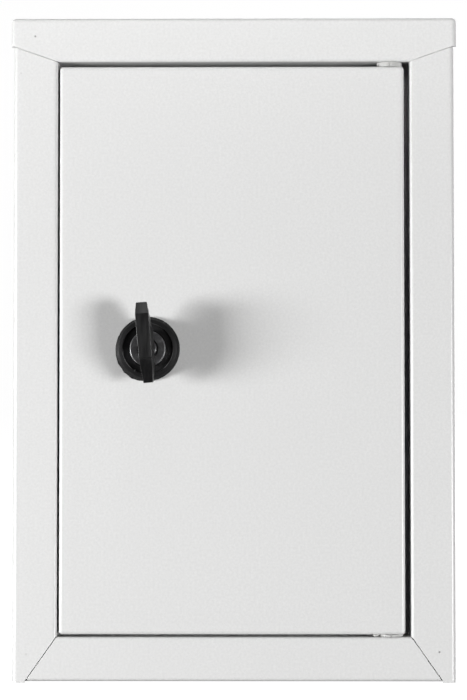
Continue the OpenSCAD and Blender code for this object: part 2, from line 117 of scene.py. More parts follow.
softbox("soft_left", -64, -3.5, 1.25, (0.46, 0.26), 24.0)
softbox("soft_right", 46, -6, 1.90, (0.60, 0.45), 33.5)
_grid = area("soft_front_high", (0.0, -0.90, 0.45), (0.0, -0.15, 0.27), (0.40, 0.08), 0.070)
_grid.data.spread = math.radians(30)
area("soft_above", (-0.04, -0.25, 0.60), (-0.04, -0.25, 0.0), (0.30, 0.20), 0.6)
softbox("soft_back", 180, 25, 1.60, (1.00, 1.00), 14.0)

world = bpy.data.worlds.new("studio")
scene.world = world
world.use_nodes = True
_bg = world.node_tree.nodes["Background"]
_bg.inputs["Color"].default_value = (1.0, 1.0, 1.0, 1.0)
_bg.inputs["Strength"].default_value = 0.02


# ------------------------------------------------------------------ node helpers
class Net:
    def __init__(self, name):
        self.m = bpy.data.materials.new(name)
        self.m.use_nodes = True
        self.t = self.m.node_tree
        self.t.nodes.clear()
        self.out = self.t.nodes.new("ShaderNodeOutputMaterial")
        self.b = self.t.nodes.new("ShaderNodeBsdfPrincipled")
        self.t.links.new(self.b.outputs[0], self.out.inputs[0])
        self._co = None
        self._bevels = {}

    def new(self, kind, **props):
        n = self.t.nodes.new(kind)
        for k, v in props.items():
            setattr(n, k, v)
        return n

    def link(self, a, b):
        self.t.links.new(a, b)

    @property
    def co(self):
        """Object coordinates in metres."""
        if self._co is None:
            self._co = self.new("ShaderNodeTexCoord").outputs["Object"]
        return self._co

    def noise(self, scale, detail=2.0, rough=0.5, vec=None, distortion=0.0):
        n = self.new("ShaderNodeTexNoise")
        n.inputs["Scale"].default_value = scale
        n.inputs["Detail"].default_value = detail
        n.inputs["Roughness"].default_value = rough
        n.inputs["Distortion"].default_value = distortion
        self.link(vec or self.co, n.inputs["Vector"])
        return n.outputs["Fac"]

    def stretch(self, sx, sy, sz, vec=None):
        n = self.new("ShaderNodeMapping")
        n.inputs["Scale"].default_value = (sx, sy, sz)
        self.link(vec or self.co, n.inputs["Vector"])
        return n.outputs["Vector"]

    def remap(self, v, a, b, c, d, smooth=False):
        n = self.new("ShaderNodeMapRange")
        n.interpolation_type = "SMOOTHSTEP" if smooth else "LINEAR"
        n.inputs["From Min"].default_value = a
        n.inputs["From Max"].default_value = b
        n.inputs["To Min"].default_value = c
        n.inputs["To Max"].default_value = d
        self.link(v, n.inputs["Value"])
        return n.outputs["Result"]

    def math(self, op, a, b=None, clamp=False):
        n = self.new("ShaderNodeMath", operation=op, use_clamp=clamp)
        for i, v in enumerate((a, b)):
            if v is None:
                continue
            if isinstance(v, (int, float)):
                n.inputs[i].default_value = v
            else:
                self.link(v, n.inputs[i])
        return n.outputs[0]

    def mix(self, fac, a, b):
        n = self.new("ShaderNodeMix", data_type="RGBA")
        self.link(fac, n.inputs["Factor"]) if not isinstance(fac, (int, float)) else setattr(n.inputs["Factor"], "default_value", fac)
        for s, v in ((6, a), (7, b)):
            if isinstance(v, (tuple, list)):
                n.inputs[s].default_value = (*v[:3], 1.0)
            else:
                self.link(v, n.inputs[s])
        return n.outputs[2]

    def bump(self, height, distance, strength=1.0, normal=None):
        n = self.new("ShaderNodeBump")
        n.inputs["Strength"].default_value = strength
        n.inputs["Distance"].default_value = distance
        self.link(height, n.inputs["Height"])
        if normal is not None:
            self.link(normal, n.inputs["Normal"])
        return n.outputs["Normal"]

    def radius(self, centre, keep=(1, 0, 1)):
        """Distance in metres from an axis through centre (metres), along the axis whose keep is 0."""
        s = self.new("ShaderNodeVectorMath", operation="SUBTRACT")
        self.link(self.co, s.inputs[0])
        s.inputs[1].default_value = centre
        k = self.new("ShaderNodeVectorMath", operation="MULTIPLY")
        self.link(s.outputs[0], k.inputs[0])
        k.inputs[1].default_value = keep
        n = self.new("ShaderNodeVectorMath", operation="LENGTH")
        self.link(k.outputs[0], n.inputs[0])
        return n.outputs["Value"]

    def rounded(self, radius):
        """Normal with the corners rounded off by radius."""
        key = round(radius * 1e6)
        if key not in self._bevels:
            bev = self.new("ShaderNodeBevel", samples=6)
            bev.inputs["Radius"].default_value = radius
            self._bevels[key] = bev.outputs[0]
        return self._bevels[key]

    def edge(self, radius, low=0.03, high=0.25):
        """1 on edges and 0 on flats, from how far the rounded normal leans away from the true one."""
        geo = self.new("ShaderNodeNewGeometry")
        dot = self.new("ShaderNodeVectorMath", operation="DOT_PRODUCT")
        self.link(self.rounded(radius), dot.inputs[0])
        self.link(geo.outputs["Normal"], dot.inputs[1])
        return self.remap(self.math("SUBTRACT", 1.0, dot.outputs["Value"]), low, high, 0.0, 1.0, smooth=True)

    def set(self, **kw):
        for k, v in kw.items():
            s = self.b.inputs[k.replace("_", " ")]
            if isinstance(v, (int, float)):
                s.default_value = v
            elif isinstance(v, (tuple, list)):
                s.default_value = (*v[:3], 1.0) if len(s.default_value) == 4 else v
            else:
                self.link(v, s)
        return self.m


SPECKS = ((-90.3, 142.9, 0.15, 0.75), (92.6, -136.2, 0.16, 1.0), (-93.6, -137.3, 0.05, 0.22), (-96.7, 126.0, 0.03, 0.18))


def powder(name, light, dark, rough=(0.285, 0.34), peel=2.2e-5, specks=False):
    """Light grey powder coat: orange peel, fine mottle, slight tone clouds, thinner coat on the edges, a few pits."""
    n = Net(name)
    clouds = n.noise(14.0, 3.0, 0.55)
    col = n.mix(n.remap(clouds, 0.3, 0.7, 0.0, 1.0, True), dark, light)
    mottle = n.noise(900.0, 2.0, 0.65)
    col = n.mix(n.remap(mottle, 0.32, 0.68, 0.0, 1.0), tuple(c * 0.918 for c in dark), col)
    soft = n.noise(300.0, 1.0, 0.5)
    col = n.mix(n.remap(soft, 0.35, 0.65, 0.22, 0.0), col, tuple(c * 0.93 for c in light))
    worn = n.math("MULTIPLY", n.edge(0.00045, 0.06, 0.30), n.remap(n.noise(260.0, 3.0, 0.7), 0.45, 0.75, 0.0, 0.55, True))
    col = n.mix(worn, col, tuple(min(1.0, c * 1.10) for c in light))
    # rare faint dust marks
    dust = n.new("ShaderNodeTexVoronoi", feature="F1")
    dust.inputs["Scale"].default_value = 38.0
    n.link(n.co, dust.inputs["Vector"])
    mark = n.math("MULTIPLY", n.remap(dust.outputs["Distance"], 0.006, 0.018, 1.0, 0.0, True), 0.22)
    col = n.mix(mark, col, tuple(c * 0.5 for c in dark))
    r = n.remap(n.noise(60.0, 2.0, 0.5), 0.3, 0.7, rough[0], rough[1])
    h = n.math("ADD", n.math("MULTIPLY", n.noise(1000.0, 1.5, 0.5), 0.5), n.math("MULTIPLY", n.noise(430.0, 1.0, 0.4), 0.5))
    nrm = n.bump(h, peel, 1.0, n.rounded(0.00045))
    if specks:
        for x, z, depth, tone in SPECKS:
            d = n.radius((x * MM, 0.0, z * MM))
            hole = n.remap(d, 0.00022, 0.00062, 0.0, 1.0, True)
            rim = n.math("MULTIPLY", n.remap(d, 0.0006, 0.0009, 0.0, 1.0, True), n.remap(d, 0.0010, 0.0015, 1.0, 0.0, True))
            nrm = n.bump(n.math("ADD", hole, n.math("MULTIPLY", rim, 0.35)), depth * MM, 1.0, nrm)
            col = n.mix(n.remap(d, 0.0002, 0.0006, tone, 0.0, True), col, tuple(c * 0.30 for c in dark))
    return n.set(Base_Color=col, Roughness=r, Normal=nrm, Specular_IOR_Level=0.5)


def metal(name, base, spots, rough, scratch=None, bumpy=2.0e-6, metallic=1.0, edge=None):
    """Plated or bare metal with faint stains, a fine grain and brighter rubbed edges."""
    n = Net(name)
    stains = n.remap(n.noise(170.0, 4.0, 0.6), 0.35, 0.7, 0.0, 1.0, True)
    col = n.mix(stains, base, spots)
    grain = n.noise(1500.0, 3.0, 0.6, vec=n.stretch(*(scratch or (1, 1, 1))))
    r = n.math("ADD", n.remap(grain, 0.3, 0.7, rough[0], rough[1]), n.math("MULTIPLY", stains, 0.07))
    if edge:
        rub = n.math("MULTIPLY", n.edge(0.0004, 0.05, 0.3), n.remap(n.noise(700.0, 3.0, 0.6), 0.3, 0.7, 0.3, 1.0))
        col = n.mix(rub, col, edge)
    return n.set(Base_Color=col, Roughness=r, Metallic=metallic, Normal=n.bump(grain, bumpy, 1.0, n.rounded(0.0004) if edge else None))


def plastic(name, base, alt, rough, grain=900.0, bumpy=3e-6, edge=None, spec=0.5):
    """Moulded plastic or rubber: fine texture, flow mottling, slightly rubbed edges."""
    n = Net(name)
    flow = n.remap(n.noise(90.0, 4.0, 0.6, distortion=0.6), 0.3, 0.7, 0.0, 1.0, True)
    col = n.mix(flow, base, alt)
    tex = n.noise(grain, 3.0, 0.6)
    r = n.math("ADD", n.remap(tex, 0.3, 0.7, rough[0], rough[1]), n.math("MULTIPLY", flow, 0.04))
    if edge:
        rub = n.math("MULTIPLY", n.edge(0.0004, 0.05, 0.3), n.remap(n.noise(500.0, 3.0, 0.6), 0.3, 0.7, 0.2, 1.0))
        col = n.mix(rub, col, edge)
    return n.set(Base_Color=col, Roughness=r, Normal=n.bump(tex, bumpy, 1.0, n.rounded(0.0004) if edge else None), Specular_IOR_Level=spec)


G = 0.62
M = {
    "paint_body": powder("powder_body", (G, G, G * 0.995), (G * 0.985, G * 0.985, G * 0.98), specks=True),
    "paint_door": powder("powder_door", (G * 0.995, G * 0.995, G * 0.99), (G * 0.98, G * 0.98, G * 0.975)),
    "paint_inner": powder("powder_inner", (G * 0.93, G * 0.93, G * 0.925), (G * 0.90, G * 0.90, G * 0.895), peel=2.4e-5),
    "zinc_steel": metal("zinc_plate", (0.66, 0.67, 0.69), (0.55, 0.56, 0.58), (0.24, 0.36), edge=(0.80, 0.81, 0.82)),
    "dark_spring_steel": metal("phosphated_spring", (0.10, 0.10, 0.11), (0.06, 0.06, 0.065), (0.40, 0.55)),
    "copper_flashed": metal("copper_flash", (0.72, 0.42, 0.27), (0.56, 0.33, 0.23), (0.26, 0.40), edge=(0.84, 0.58, 0.42)),
    "brass_parts": metal("plain_brass", (0.78, 0.62, 0.32), (0.62, 0.48, 0.25), (0.22, 0.34), edge=(0.88, 0.75, 0.46)),
    "seal_rubber": plastic("rubber", (0.0075, 0.0075, 0.0078), (0.0115, 0.0115, 0.0118), (0.60, 0.75), bumpy=1.2e-5, spec=0.25),
    "nylon_white": plastic("natural_nylon", (0.46, 0.46, 0.45), (0.38, 0.38, 0.37), (0.42, 0.52), edge=(0.58, 0.58, 0.57), spec=0.35),
}


def galvanised():
    n = Net("galvanised_sheet")
    v = n.new("ShaderNodeTexVoronoi", feature="F1")
    v.inputs["Scale"].default_value = 95.0
    n.link(n.stretch(1.0, 0.02, 1.0), v.inputs["Vector"])
    sep = n.new("ShaderNodeSeparateColor")
    n.link(v.outputs["Color"], sep.inputs[0])
    cell = sep.outputs[0]
    col = n.mix(cell, (0.50, 0.52, 0.54), (0.66, 0.68, 0.69))
    col = n.mix(n.remap(n.noise(24.0, 4.0), 0.4, 0.7, 0.0, 0.5, True), col, (0.58, 0.59, 0.60))
    fine = n.noise(1400.0, 2.0, 0.5, vec=n.stretch(0.12, 1.0, 1.0))
    r = n.math("ADD", n.remap(cell, 0.0, 1.0, 0.30, 0.48), n.math("MULTIPLY", fine, 0.06))
    return n.set(Base_Color=col, Roughness=r, Metallic=1.0, Normal=n.bump(n.math("ADD", fine, cell), 3e-6))


def foam():
    """Grey foamed seal: small open cells and skin, on the lumpy mesh."""
    n = Net("foam_seal")
    v = n.new("ShaderNodeTexVoronoi", feature="F1")
    v.inputs["Scale"].default_value = 1500.0
    n.link(n.co, v.inputs["Vector"])
    cells = n.remap(v.outputs["Distance"], 0.1, 0.6, 0.0, 1.0, True)
    col = n.mix(cells, (0.055, 0.055, 0.058), (0.13, 0.13, 0.135))
    col = n.mix(n.remap(n.noise(60.0, 4.0), 0.4, 0.7, 0.0, 0.5, True), col, (0.085, 0.085, 0.09))
    h = n.math("ADD", cells, n.math("MULTIPLY", n.noise(500.0, 3.0), 1.5))
    return n.set(Base_Color=col, Roughness=n.remap(cells, 0.0, 1.0, 0.95, 0.80), Normal=n.bump(h, 6e-5), Specular_IOR_Level=0.25)


def rotor_metal():
    """Dark turned disc: fine turning lines, scuffs, and a bright rim, partly bare metal where the coating is gone and
    partly a painted highlight of the low lamps, kept to its lower arcs.
    """
    n = Net("turned_disc")
    r = n.radius((LOCK_X * MM, 0.0, LOCK_Z * MM))
    lines = n.new("ShaderNodeTexWave", wave_type="BANDS", bands_direction="X")
    lines.inputs["Scale"].default_value = 1.0
    lines.inputs["Distortion"].default_value = 0.0
    comb = n.new("ShaderNodeCombineXYZ")
    n.link(n.math("ADD", n.math("MULTIPLY", r, 2600.0), n.noise(500.0, 2.0)), comb.inputs[0])
    n.link(comb.outputs[0], lines.inputs["Vector"])
    scuff = n.remap(n.noise(420.0, 5.0, 0.7, distortion=1.2), 0.45, 0.72, 0.0, 1.0, True)
    col = n.mix(scuff, (0.095, 0.095, 0.098), (0.150, 0.150, 0.154))
    rim = n.remap(r, 0.00776, 0.00792, 0.0, 1.0, True)
    sep = n.new("ShaderNodeSeparateXYZ")
    n.link(n.co, sep.inputs[0])
    # painted highlight: low and high keep the bright rim colour to the lower arcs, where the lamps below the lock
    # reflect, and fade it to a faint trace elsewhere
    low = n.remap(sep.outputs["Z"], (LOCK_Z - 6.8) * MM, (LOCK_Z - 5.2) * MM, 0.15, 1.0, True)
    high = n.remap(sep.outputs["Z"], (LOCK_Z - 1.2) * MM, (LOCK_Z - 0.1) * MM, 1.0, 0.15, True)
    rim = n.math("MULTIPLY", rim, n.math("MULTIPLY", low, high))
    rim = n.math("MULTIPLY", rim, n.remap(n.noise(340.0, 3.0, 0.7), 0.25, 0.5, 0.6, 1.0, True))
    col = n.mix(rim, col, (0.80, 0.80, 0.81))
    rough = n.math("SUBTRACT", n.remap(scuff, 0.0, 1.0, 0.46, 0.60), n.math("MULTIPLY", rim, 0.16))
    return n.set(Base_Color=col, Roughness=rough, Metallic=0.9, Normal=n.bump(lines.outputs["Fac"], 1.2e-6))


def housing_black():
    """Satin black enamel: a lighter tone in the recess than on the outer face as painted light, rubbed edges, a
    painted highlight arc low on the inner edge, and one chipped spot.
    """
    n = Net("black_enamel")
    flow = n.noise(120.0, 4.0, 0.6)
    r = n.radius((LOCK_X * MM, 0.0, LOCK_Z * MM))
    # painted light: inside the inner edge the enamel gets a lighter copy than on the outer face, to offset the shade
    # in the recess (dark holds the recess colour)
    ring = n.remap(r, 0.01115, 0.01145, 0.0, 1.0, True)
    dark = n.mix(n.remap(flow, 0.35, 0.7, 0.0, 1.0, True), (0.0075, 0.0075, 0.0078), (0.0105, 0.0105, 0.0108))
    face = n.mix(n.remap(flow, 0.35, 0.7, 0.0, 1.0, True), (0.0060, 0.0060, 0.0063), (0.0095, 0.0095, 0.0098))
    col = n.mix(ring, dark, face)
    rub = n.math("MULTIPLY", n.edge(0.0003, 0.05, 0.3), n.remap(n.noise(420.0, 4.0, 0.7), 0.35, 0.7, 0.1, 0.7, True))
    col = n.mix(rub, col, (0.045, 0.045, 0.047))
    # painted highlight: a thin light arc on the bezel's inner edge, which low and high keep to its lower left and
    # lower right, where the low lamps reflect
    line = n.math("MULTIPLY", n.remap(r, 0.01125, 0.01135, 0.0, 1.0, True), n.remap(r, 0.01150, 0.01162, 1.0, 0.0, True))
    sep = n.new("ShaderNodeSeparateXYZ")
    n.link(n.co, sep.inputs[0])
    low = n.remap(sep.outputs["Z"], (LOCK_Z - 9.5) * MM, (LOCK_Z - 7.5) * MM, 0.0, 1.0, True)
    high = n.remap(sep.outputs["Z"], (LOCK_Z - 2.5) * MM, (LOCK_Z + 1.0) * MM, 1.0, 0.15, True)
    col = n.mix(n.math("MULTIPLY", line, n.math("MULTIPLY", low, high)), col, (0.20, 0.20, 0.20))
    chip = n.remap(n.radius(((LOCK_X - 5.75) * MM, 0.0, (LOCK_Z - 9.75) * MM)), 0.0002, 0.0006, 1.0, 0.0, True)
    col = n.mix(n.math("MULTIPLY", chip, 0.5), col, (0.20, 0.20, 0.20))
    tex = n.noise(1100.0, 3.0, 0.6)
    return n.set(Base_Color=col, Roughness=n.remap(tex, 0.3, 0.7, 0.42, 0.55), Normal=n.bump(tex, 4e-6), Specular_IOR_Level=0.18)


def key_black():
    """Moulded black plastic, flow lines along the wing, lighter rubbed edges."""
    n = Net("moulded_key")
    streak = n.noise(260.0, 4.0, 0.65, vec=n.stretch(3.0, 1.0, 0.35))
    col = n.mix(n.remap(streak, 0.38, 0.66, 0.0, 1.0, True), (0.0032, 0.0032, 0.0035), (0.0078, 0.0078, 0.0081))
    rub = n.math("MULTIPLY", n.edge(0.0005, 0.05, 0.3), n.remap(n.noise(380.0, 4.0, 0.7), 0.3, 0.65, 0.15, 0.9, True))
    col = n.mix(rub, col, (0.045, 0.045, 0.047))
    tex = n.noise(1300.0, 3.0, 0.6)
    h = n.math("ADD", tex, n.math("MULTIPLY", streak, 2.0))
    sep = n.new("ShaderNodeSeparateXYZ")
    n.link(n.co, sep.inputs[0])
    collar = n.remap(sep.outputs["Y"], (DISC_Y - 1.7) * MM, (DISC_Y - 1.35) * MM, 0.0, 1.0, True)
    col = n.mix(collar, col, (0.045, 0.045, 0.047))
    rough = n.mix(collar, n.remap(streak, 0.3, 0.7, 0.36, 0.48), (0.20, 0.20, 0.20))
    return n.set(Base_Color=col, Roughness=rough, Normal=n.bump(h, 4e-6), Specular_IOR_Level=0.42)


M["galvanised_plate"] = galvanised()
M["seal_foam"] = foam()
M["dark_metal"] = rotor_metal()
M["black_housing"] = housing_black()
M["black_key"] = key_black()

SLOT = {p["node"]: p["material_slot"] for p in frame["record"]["subparts"]} if frame["record"].get("subparts") else {}


def dress(node, slot):
    """Gives a carried-over CAD node its material."""
    o = NODES[node]
    o.data.materials.clear()
    o.data.materials.append(M[slot])


for _node in NODES:
    dress(_node, SLOT[_node])


def soften(node, width, segments=2, angle=30.0):
    """Rounds the cut edges of a carried-over part with modifiers; its own mesh stays as imported."""
    o = NODES[node]
    w = o.modifiers.new("weld", "WELD")
    w.merge_threshold = 2e-6
    d = o.modifiers.new("planar", "DECIMATE")
    d.decimate_type = "DISSOLVE"
    d.angle_limit = math.radians(0.6)
    b = o.modifiers.new("edges", "BEVEL")
    b.width = width * MM
    b.segments = segments
    b.limit_method = "ANGLE"
    b.angle_limit = math.radians(angle)
    b.harden_normals = True
    return o


for _node, _w in (("mounting_plate", 0.25), ("lock_cam", 0.3)):
    soften(_node, _w)


# ------------------------------------------------------------------ mesh helpers (millimetres)
def publish(name, verts, faces, body, slot, nodes, place=None, sharp=32.0):
    """Makes a piece from millimetre vertices; place is a matrix in millimetres."""
    place = place or Matrix.Identity(4)
    me = bpy.data.meshes.new(name)
    me.from_pydata([tuple((place @ Vector(v)) * MM) for v in verts], [], faces)
    me.validate()
    bm = bmesh.new()
    bm.from_mesh(me)
    bmesh.ops.remove_doubles(bm, verts=bm.verts, dist=1e-7)
    bmesh.ops.recalc_face_normals(bm, faces=bm.faces)
    bm.to_mesh(me)
    bm.free()
    me.shade_smooth()
    me.set_sharp_from_angle(angle=math.radians(sharp))
    me.materials.append(M[slot])
    o = bpy.data.objects.new(name, me)
    scene.collection.objects.link(o)
    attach(o, body)
    if nodes:
        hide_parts(*nodes)
    return o


def joined(parts):
    """One vertex and face list from several."""
    verts, faces = [], []
    for v, f in parts:
        k = len(verts)
        verts += v
        faces += [tuple(i + k for i in q) for q in f]
    return verts, faces


def moved(part, m):
    v, f = part
    return [tuple(m @ Vector(p)) for p in v], f


def rounded(points, radii, n=4):
    """Closed profile of (r, a) points with its corners rounded."""
    out, k = [], len(points)
    for i, p in enumerate(points):
        r = radii[i] if isinstance(radii, (list, tuple)) else radii
        a, b, c = Vector(points[i - 1]), Vector(p), Vector(points[(i + 1) % k])
        u, w = (a - b), (c - b)
        if r <= 0 or u.length < 1e-9 or w.length < 1e-9:
            out.append(tuple(b))
            continue
        r = min(r, u.length * 0.48, w.length * 0.48)
        u.normalize()
        w.normalize()
        for j in range(n + 1):
            s = j / n
            # quadratic corner, close to an arc for small corners
            q = (b + u * r) * (1 - s) ** 2 + b * 2 * s * (1 - s) + (b + w * r) * s * s
            out.append(tuple(q))
    return out


def spun(profile, segs=96):
    """Closed (r, a) profile turned about +Z: a is the height. All r above 0."""
    verts, faces, k = [], [], len(profile)
    for i in range(segs):
        t = TAU * i / segs
        c, s = math.cos(t), math.sin(t)
        verts += [(r * c, r * s, a) for r, a in profile]
    for i in range(segs):
        for j in range(k):
            a, b = i * k + j, i * k + (j + 1) % k
            c, d = ((i + 1) % segs) * k + (j + 1) % k, ((i + 1) % segs) * k + j
            faces.append((a, b, c, d))
    return verts, faces


def stacked(rings, segs=48):
    """Rings of (height, radius or radius by angle), closed at both ends, about +Z."""
    verts, faces = [], []
    for z, r in rings:
        for i in range(segs):
            t = TAU * i / segs
            q = r(t) if callable(r) else r
            verts.append((q * math.cos(t), q * math.sin(t), z))
    for j in range(len(rings) - 1):
        for i in range(segs):
            a, b = j * segs + i, j * segs + (i + 1) % segs
            faces.append((a, b, b + segs, a + segs))
    lo = len(verts)
    verts += [(0, 0, rings[0][0]), (0, 0, rings[-1][0])]
    top = (len(rings) - 1) * segs
    for i in range(segs):
        k = (i + 1) % segs
        faces.append((lo, k, i))
        faces.append((lo + 1, top + i, top + k))
    return verts, faces


def looped(points, segs=72):
    """Closed loop of (radius, height) pairs, each a number or a function of the angle, about +Z."""
    verts, faces, k = [], [], len(points)
    for i in range(segs):
        t = TAU * i / segs
        c, s = math.cos(t), math.sin(t)
        for r, a in points:
            r = r(t) if callable(r) else r
            a = a(t) if callable(a) else a
            verts.append((r * c, r * s, a))
    for i in range(segs):
        for j in range(k):
            a, b = i * k + j, i * k + (j + 1) % k
            c, d = ((i + 1) % segs) * k + (j + 1) % k, ((i + 1) % segs) * k + j
            faces.append((a, b, c, d))
    return verts, faces


def hexa(af):
    def r(t):
        return af / 2 / math.cos((t + math.pi / 6) % (math.pi / 3) - math.pi / 6)
    return r


def nut(af, bore, h, both=True, flange=None):
    """Hexagon nut from z 0 to h, with the corners turned down and a chamfered bore."""
    hx = hexa(af)
    rc = af / 2 * 0.955
    k = math.tan(math.radians(30))
    drop = lambda t: max(0.0, hx(t) - rc) * k
    c = 0.45
    lo = [(bore, c), (bore + c, 0.0)]
    if flange:
        fr, fh = flange
        lo += [(fr - 0.25, 0.0), (fr, 0.2), (fr, fh - 0.35), (fr - 0.35, fh), (lambda t: min(fr - 0.4, hx(t)) + 0.0, fh + 0.02)]
    else:
        lo += [(rc, 0.0), (hx, drop)] if both else [(rc + 0.1, 0.0), (hx, 0.05)]
    up = [(hx, lambda t: h - drop(t)), (rc, h), (bore + c, h), (bore, h - c)]
    # thread lines inside the bore
    turns = []
    steps = max(6, int((h - 2 * c) / 0.25))
    for i in range(1, steps):
        z = h - c - (h - 2 * c) * i / steps
        turns.append((lambda t, z=z: bore + 0.05 - 0.05 * math.cos(TAU * (z / 1.0 - t / TAU)), z))
    return looped(lo + up + turns, 72)


def threaded(r, depth, pitch, z0, z1, cham0=0.0, cham1=0.6, step=None):
    """Rings of a threaded shank about +Z from z0 to z1, its ends cut back by 45 degree chamfers."""
    step = step or pitch / 8
    n = max(2, int(round((z1 - z0) / step)))
    rings = []
    for i in range(n + 1):
        z = z0 + (z1 - z0) * i / n

        def rr(t, z=z):
            p = (z / pitch - t / TAU) % 1.0
            tri = abs(2 * p - 1)
            q = r - depth * max(0.0, min(1.0, (1.0 - tri) * 1.35 - 0.18))
            if cham1 and z1 - z < cham1:
                q = min(q, r - cham1 + (z1 - z))
            if cham0 and z - z0 < cham0:
                q = min(q, r - cham0 + (z - z0))
            return q

        rings.append((z, rr))
    return rings


def toward(x, y, z, direction):
    """Matrix in millimetres: local +Z goes along direction from (x, y, z)."""
    m = Vector(direction).to_track_quat("Z", "Y").to_matrix().to_4x4()
    m.translation = Vector((x, y, z))
    return m


# ------------------------------------------------------------------ hardware inside
BACK_IN = -1.2
plate_lo, plate_hi = box("mounting_plate")
stud_x, stud_z = (plate_hi[0] - 10), (plate_hi[2] - 10)
corners = [(sx * stud_x, sz * stud_z) for sx in (-1, 1) for sz in (-1, 1)]
stud_tip = box("plate_studs")[0][1]
shoulder = plate_hi[1]


def fixed_stud(collar_r, collar_h, length, r=3.0):
    """Welded stud with a turned collar, along +Z from its foot."""
    rings = [(0.0, collar_r - 0.15), (0.15, collar_r), (collar_h - 0.4, collar_r), (collar_h - 0.1, collar_r - 0.25), (collar_h, collar_r - 0.55),
             (collar_h, r + 0.05)]
    rings += threaded(r, 0.46, 1.0, collar_h + 0.02, length, 0.0, 0.8)
    return stacked(rings, 40)


h_col = BACK_IN - shoulder
parts = [moved(fixed_stud(6.0, h_col, BACK_IN - stud_tip), toward(x, BACK_IN, z, (0, -1, 0))) for x, z in corners]
publish("plate_stud_set", *joined(parts), "cabinet", "zinc_steel", ["plate_studs"])

w_lo, w_hi = box("plate_washers")
ring = spun(rounded([(3.2, 0), (6.25, 0), (6.25, w_hi[1] - w_lo[1]), (3.2, w_hi[1] - w_lo[1])], [0.1, 0.3, 0.3, 0.1]), 64)
publish("plate_washer_set", *joined([moved(ring, toward(x, w_hi[1], z, (0, -1, 0))) for x, z in corners]), "cabinet", "zinc_steel", ["plate_washers"])

n_lo, n_hi = box("plate_nuts")
parts = []
for i, (x, z) in enumerate(corners):
    m = toward(x, n_hi[1], z, (0, -1, 0)) @ Matrix.Rotation(0.0, 4, "Z")
    parts.append(moved(nut(10.0, 3.02, n_hi[1] - n_lo[1]), m))
publish("plate_nut_set", *joined(parts), "cabinet", "zinc_steel", ["plate_nuts"], sharp=20)


def earth_point(tag, node_stud, node_washer, node_nut, body, foot_h, foot_r):
    """Copper-flashed earth stud with a brass washer and nut, in front of a welded foot."""
    lo, hi = box(node_stud)
    x, z = (lo[0] + hi[0]) / 2, (lo[2] + hi[2]) / 2
    back = tag == "body"
    base, tip, d = (hi[1], lo[1], (0, -1, 0)) if back else (lo[1], hi[1], (0, 1, 0))
    length = abs(tip - base)
    publish(tag + "_earth_bolt", *moved(fixed_stud(foot_r, foot_h, length), toward(x, base, z, d)), body, "copper_flashed", [node_stud])
    lo, hi = box(node_washer)
    t = hi[1] - lo[1]
    ring = spun(rounded([(3.2, 0), (6.0, 0), (6.0, t), (3.2, t)], [0.1, 0.3, 0.3, 0.1]), 64)
    publish(tag + "_earth_ring", *moved(ring, toward(x, hi[1] if back else lo[1], z, d)), body, "brass_parts", [node_washer])
    lo, hi = box(node_nut)
    publish(tag + "_earth_hex", *moved(nut(10.0, 3.02, hi[1] - lo[1]), toward(x, hi[1] if back else lo[1], z, d)), body, "brass_parts", [node_nut], sharp=20)


earth_point("body", "body_earth_stud", "body_earth_washer", "body_earth_nut", "cabinet", 1.8, 5.0)
earth_point("door", "door_earth_stud", "door_earth_washer", "door_earth_nut", "door", 1.5, 4.5)

# cable-entry plate fixings
g_lo, g_hi = box("gland_studs")
gx, gy = g_hi[0] - 2.5, (g_hi[1] - g_lo[1]) / 2 - 2.5
gcy = (g_lo[1] + g_hi[1]) / 2
places = [(sx * gx, gcy + sy * gy) for sx in (-1, 1) for sy in (-1, 1)]
studs = [moved(stacked([(0.0, 2.5), (1.9, 2.5)] + threaded(2.5, 0.38, 0.8, 2.0, g_hi[2] - g_lo[2], 0.0, 0.6), 36), toward(x, y, g_lo[2], (0, 0, 1))) for x, y in places]
publish("gland_stud_set", *joined(studs), "cabinet", "zinc_steel", ["gland_studs"])
f_lo, f_hi = box("gland_nuts")
nuts = [moved(nut(8.0, 2.52, f_hi[2] - f_lo[2], flange=(5.5, 1.2)), toward(x, y, f_lo[2], (0, 0, 1))) for x, y in places]
publish("gland_nut_set", *joined(nuts), "cabinet", "zinc_steel", ["gland_nuts"], sharp=20)


# ------------------------------------------------------------------ lock
def at_lock(y, tilt=0.0):
    """Local +Z points out of the door along the lock's axis; local +Y is up."""
    m = Matrix(((1, 0, 0, 0), (0, 0, -1, 0), (0, 1, 0, 0), (0, 0, 0, 1)))
    m = Matrix.Translation((LOCK_X, y, LOCK_Z)) @ Matrix.Rotation(math.radians(-tilt), 4, "Y") @ m
    return m


# bezel and barrel: heights in front of the door are positive
BEZEL = [(8.15, 0.85), (14.2, 0.80), (14.45, 1.05), (14.45, 1.65), (13.15, 3.55), (11.6, 3.9), (11.42, 3.88),
         (11.25, 3.1), (9.2, 2.3), (8.5, 2.2), (8.15, 2.0)]
BEZEL_R = [0, 0.15, 0.15, 0.3, 0.14, 0.06, 0.08, 0.35, 0.2, 0.12, 0.12]
barrel_end = box("lock_housing")[1][1]
bezel = spun(rounded(BEZEL, BEZEL_R, 5), 192)


def barrel():
    """Threaded barrel with two flats, open along its axis."""
    length = barrel_end - FRONT_Y
    z_out = 0.85
    n = int(length / 0.15)
    outer = []
    for i in range(n + 1):
        z = z_out - (z_out + length) * i / n

        def rr(t, z=z):
            p = (z / 1.25 - t / TAU) % 1.0
            cut = 0.5 * max(0.0, min(1.0, (1.0 - abs(2 * p - 1)) * 1.3 - 0.15))
            if z > -1.35:
                cut = 0.0
            q = 11.0 - cut
            if z + length < 0.6:
                q = min(q, 10.4 + (z + length))
            flat = 10.0 / max(1e-6, abs(math.cos(t)))
            return min(q, flat)

        outer.append((rr, z))
    inner = [(8.15, -length), (8.15, z_out)]
    return looped(outer + inner, 120)


publish("lock_body", *moved(joined([bezel, barrel()]), at_lock(FRONT_Y)), "door", "black_housing", ["lock_housing"], sharp=28)

g_in, g_out = 11.9, 14.35


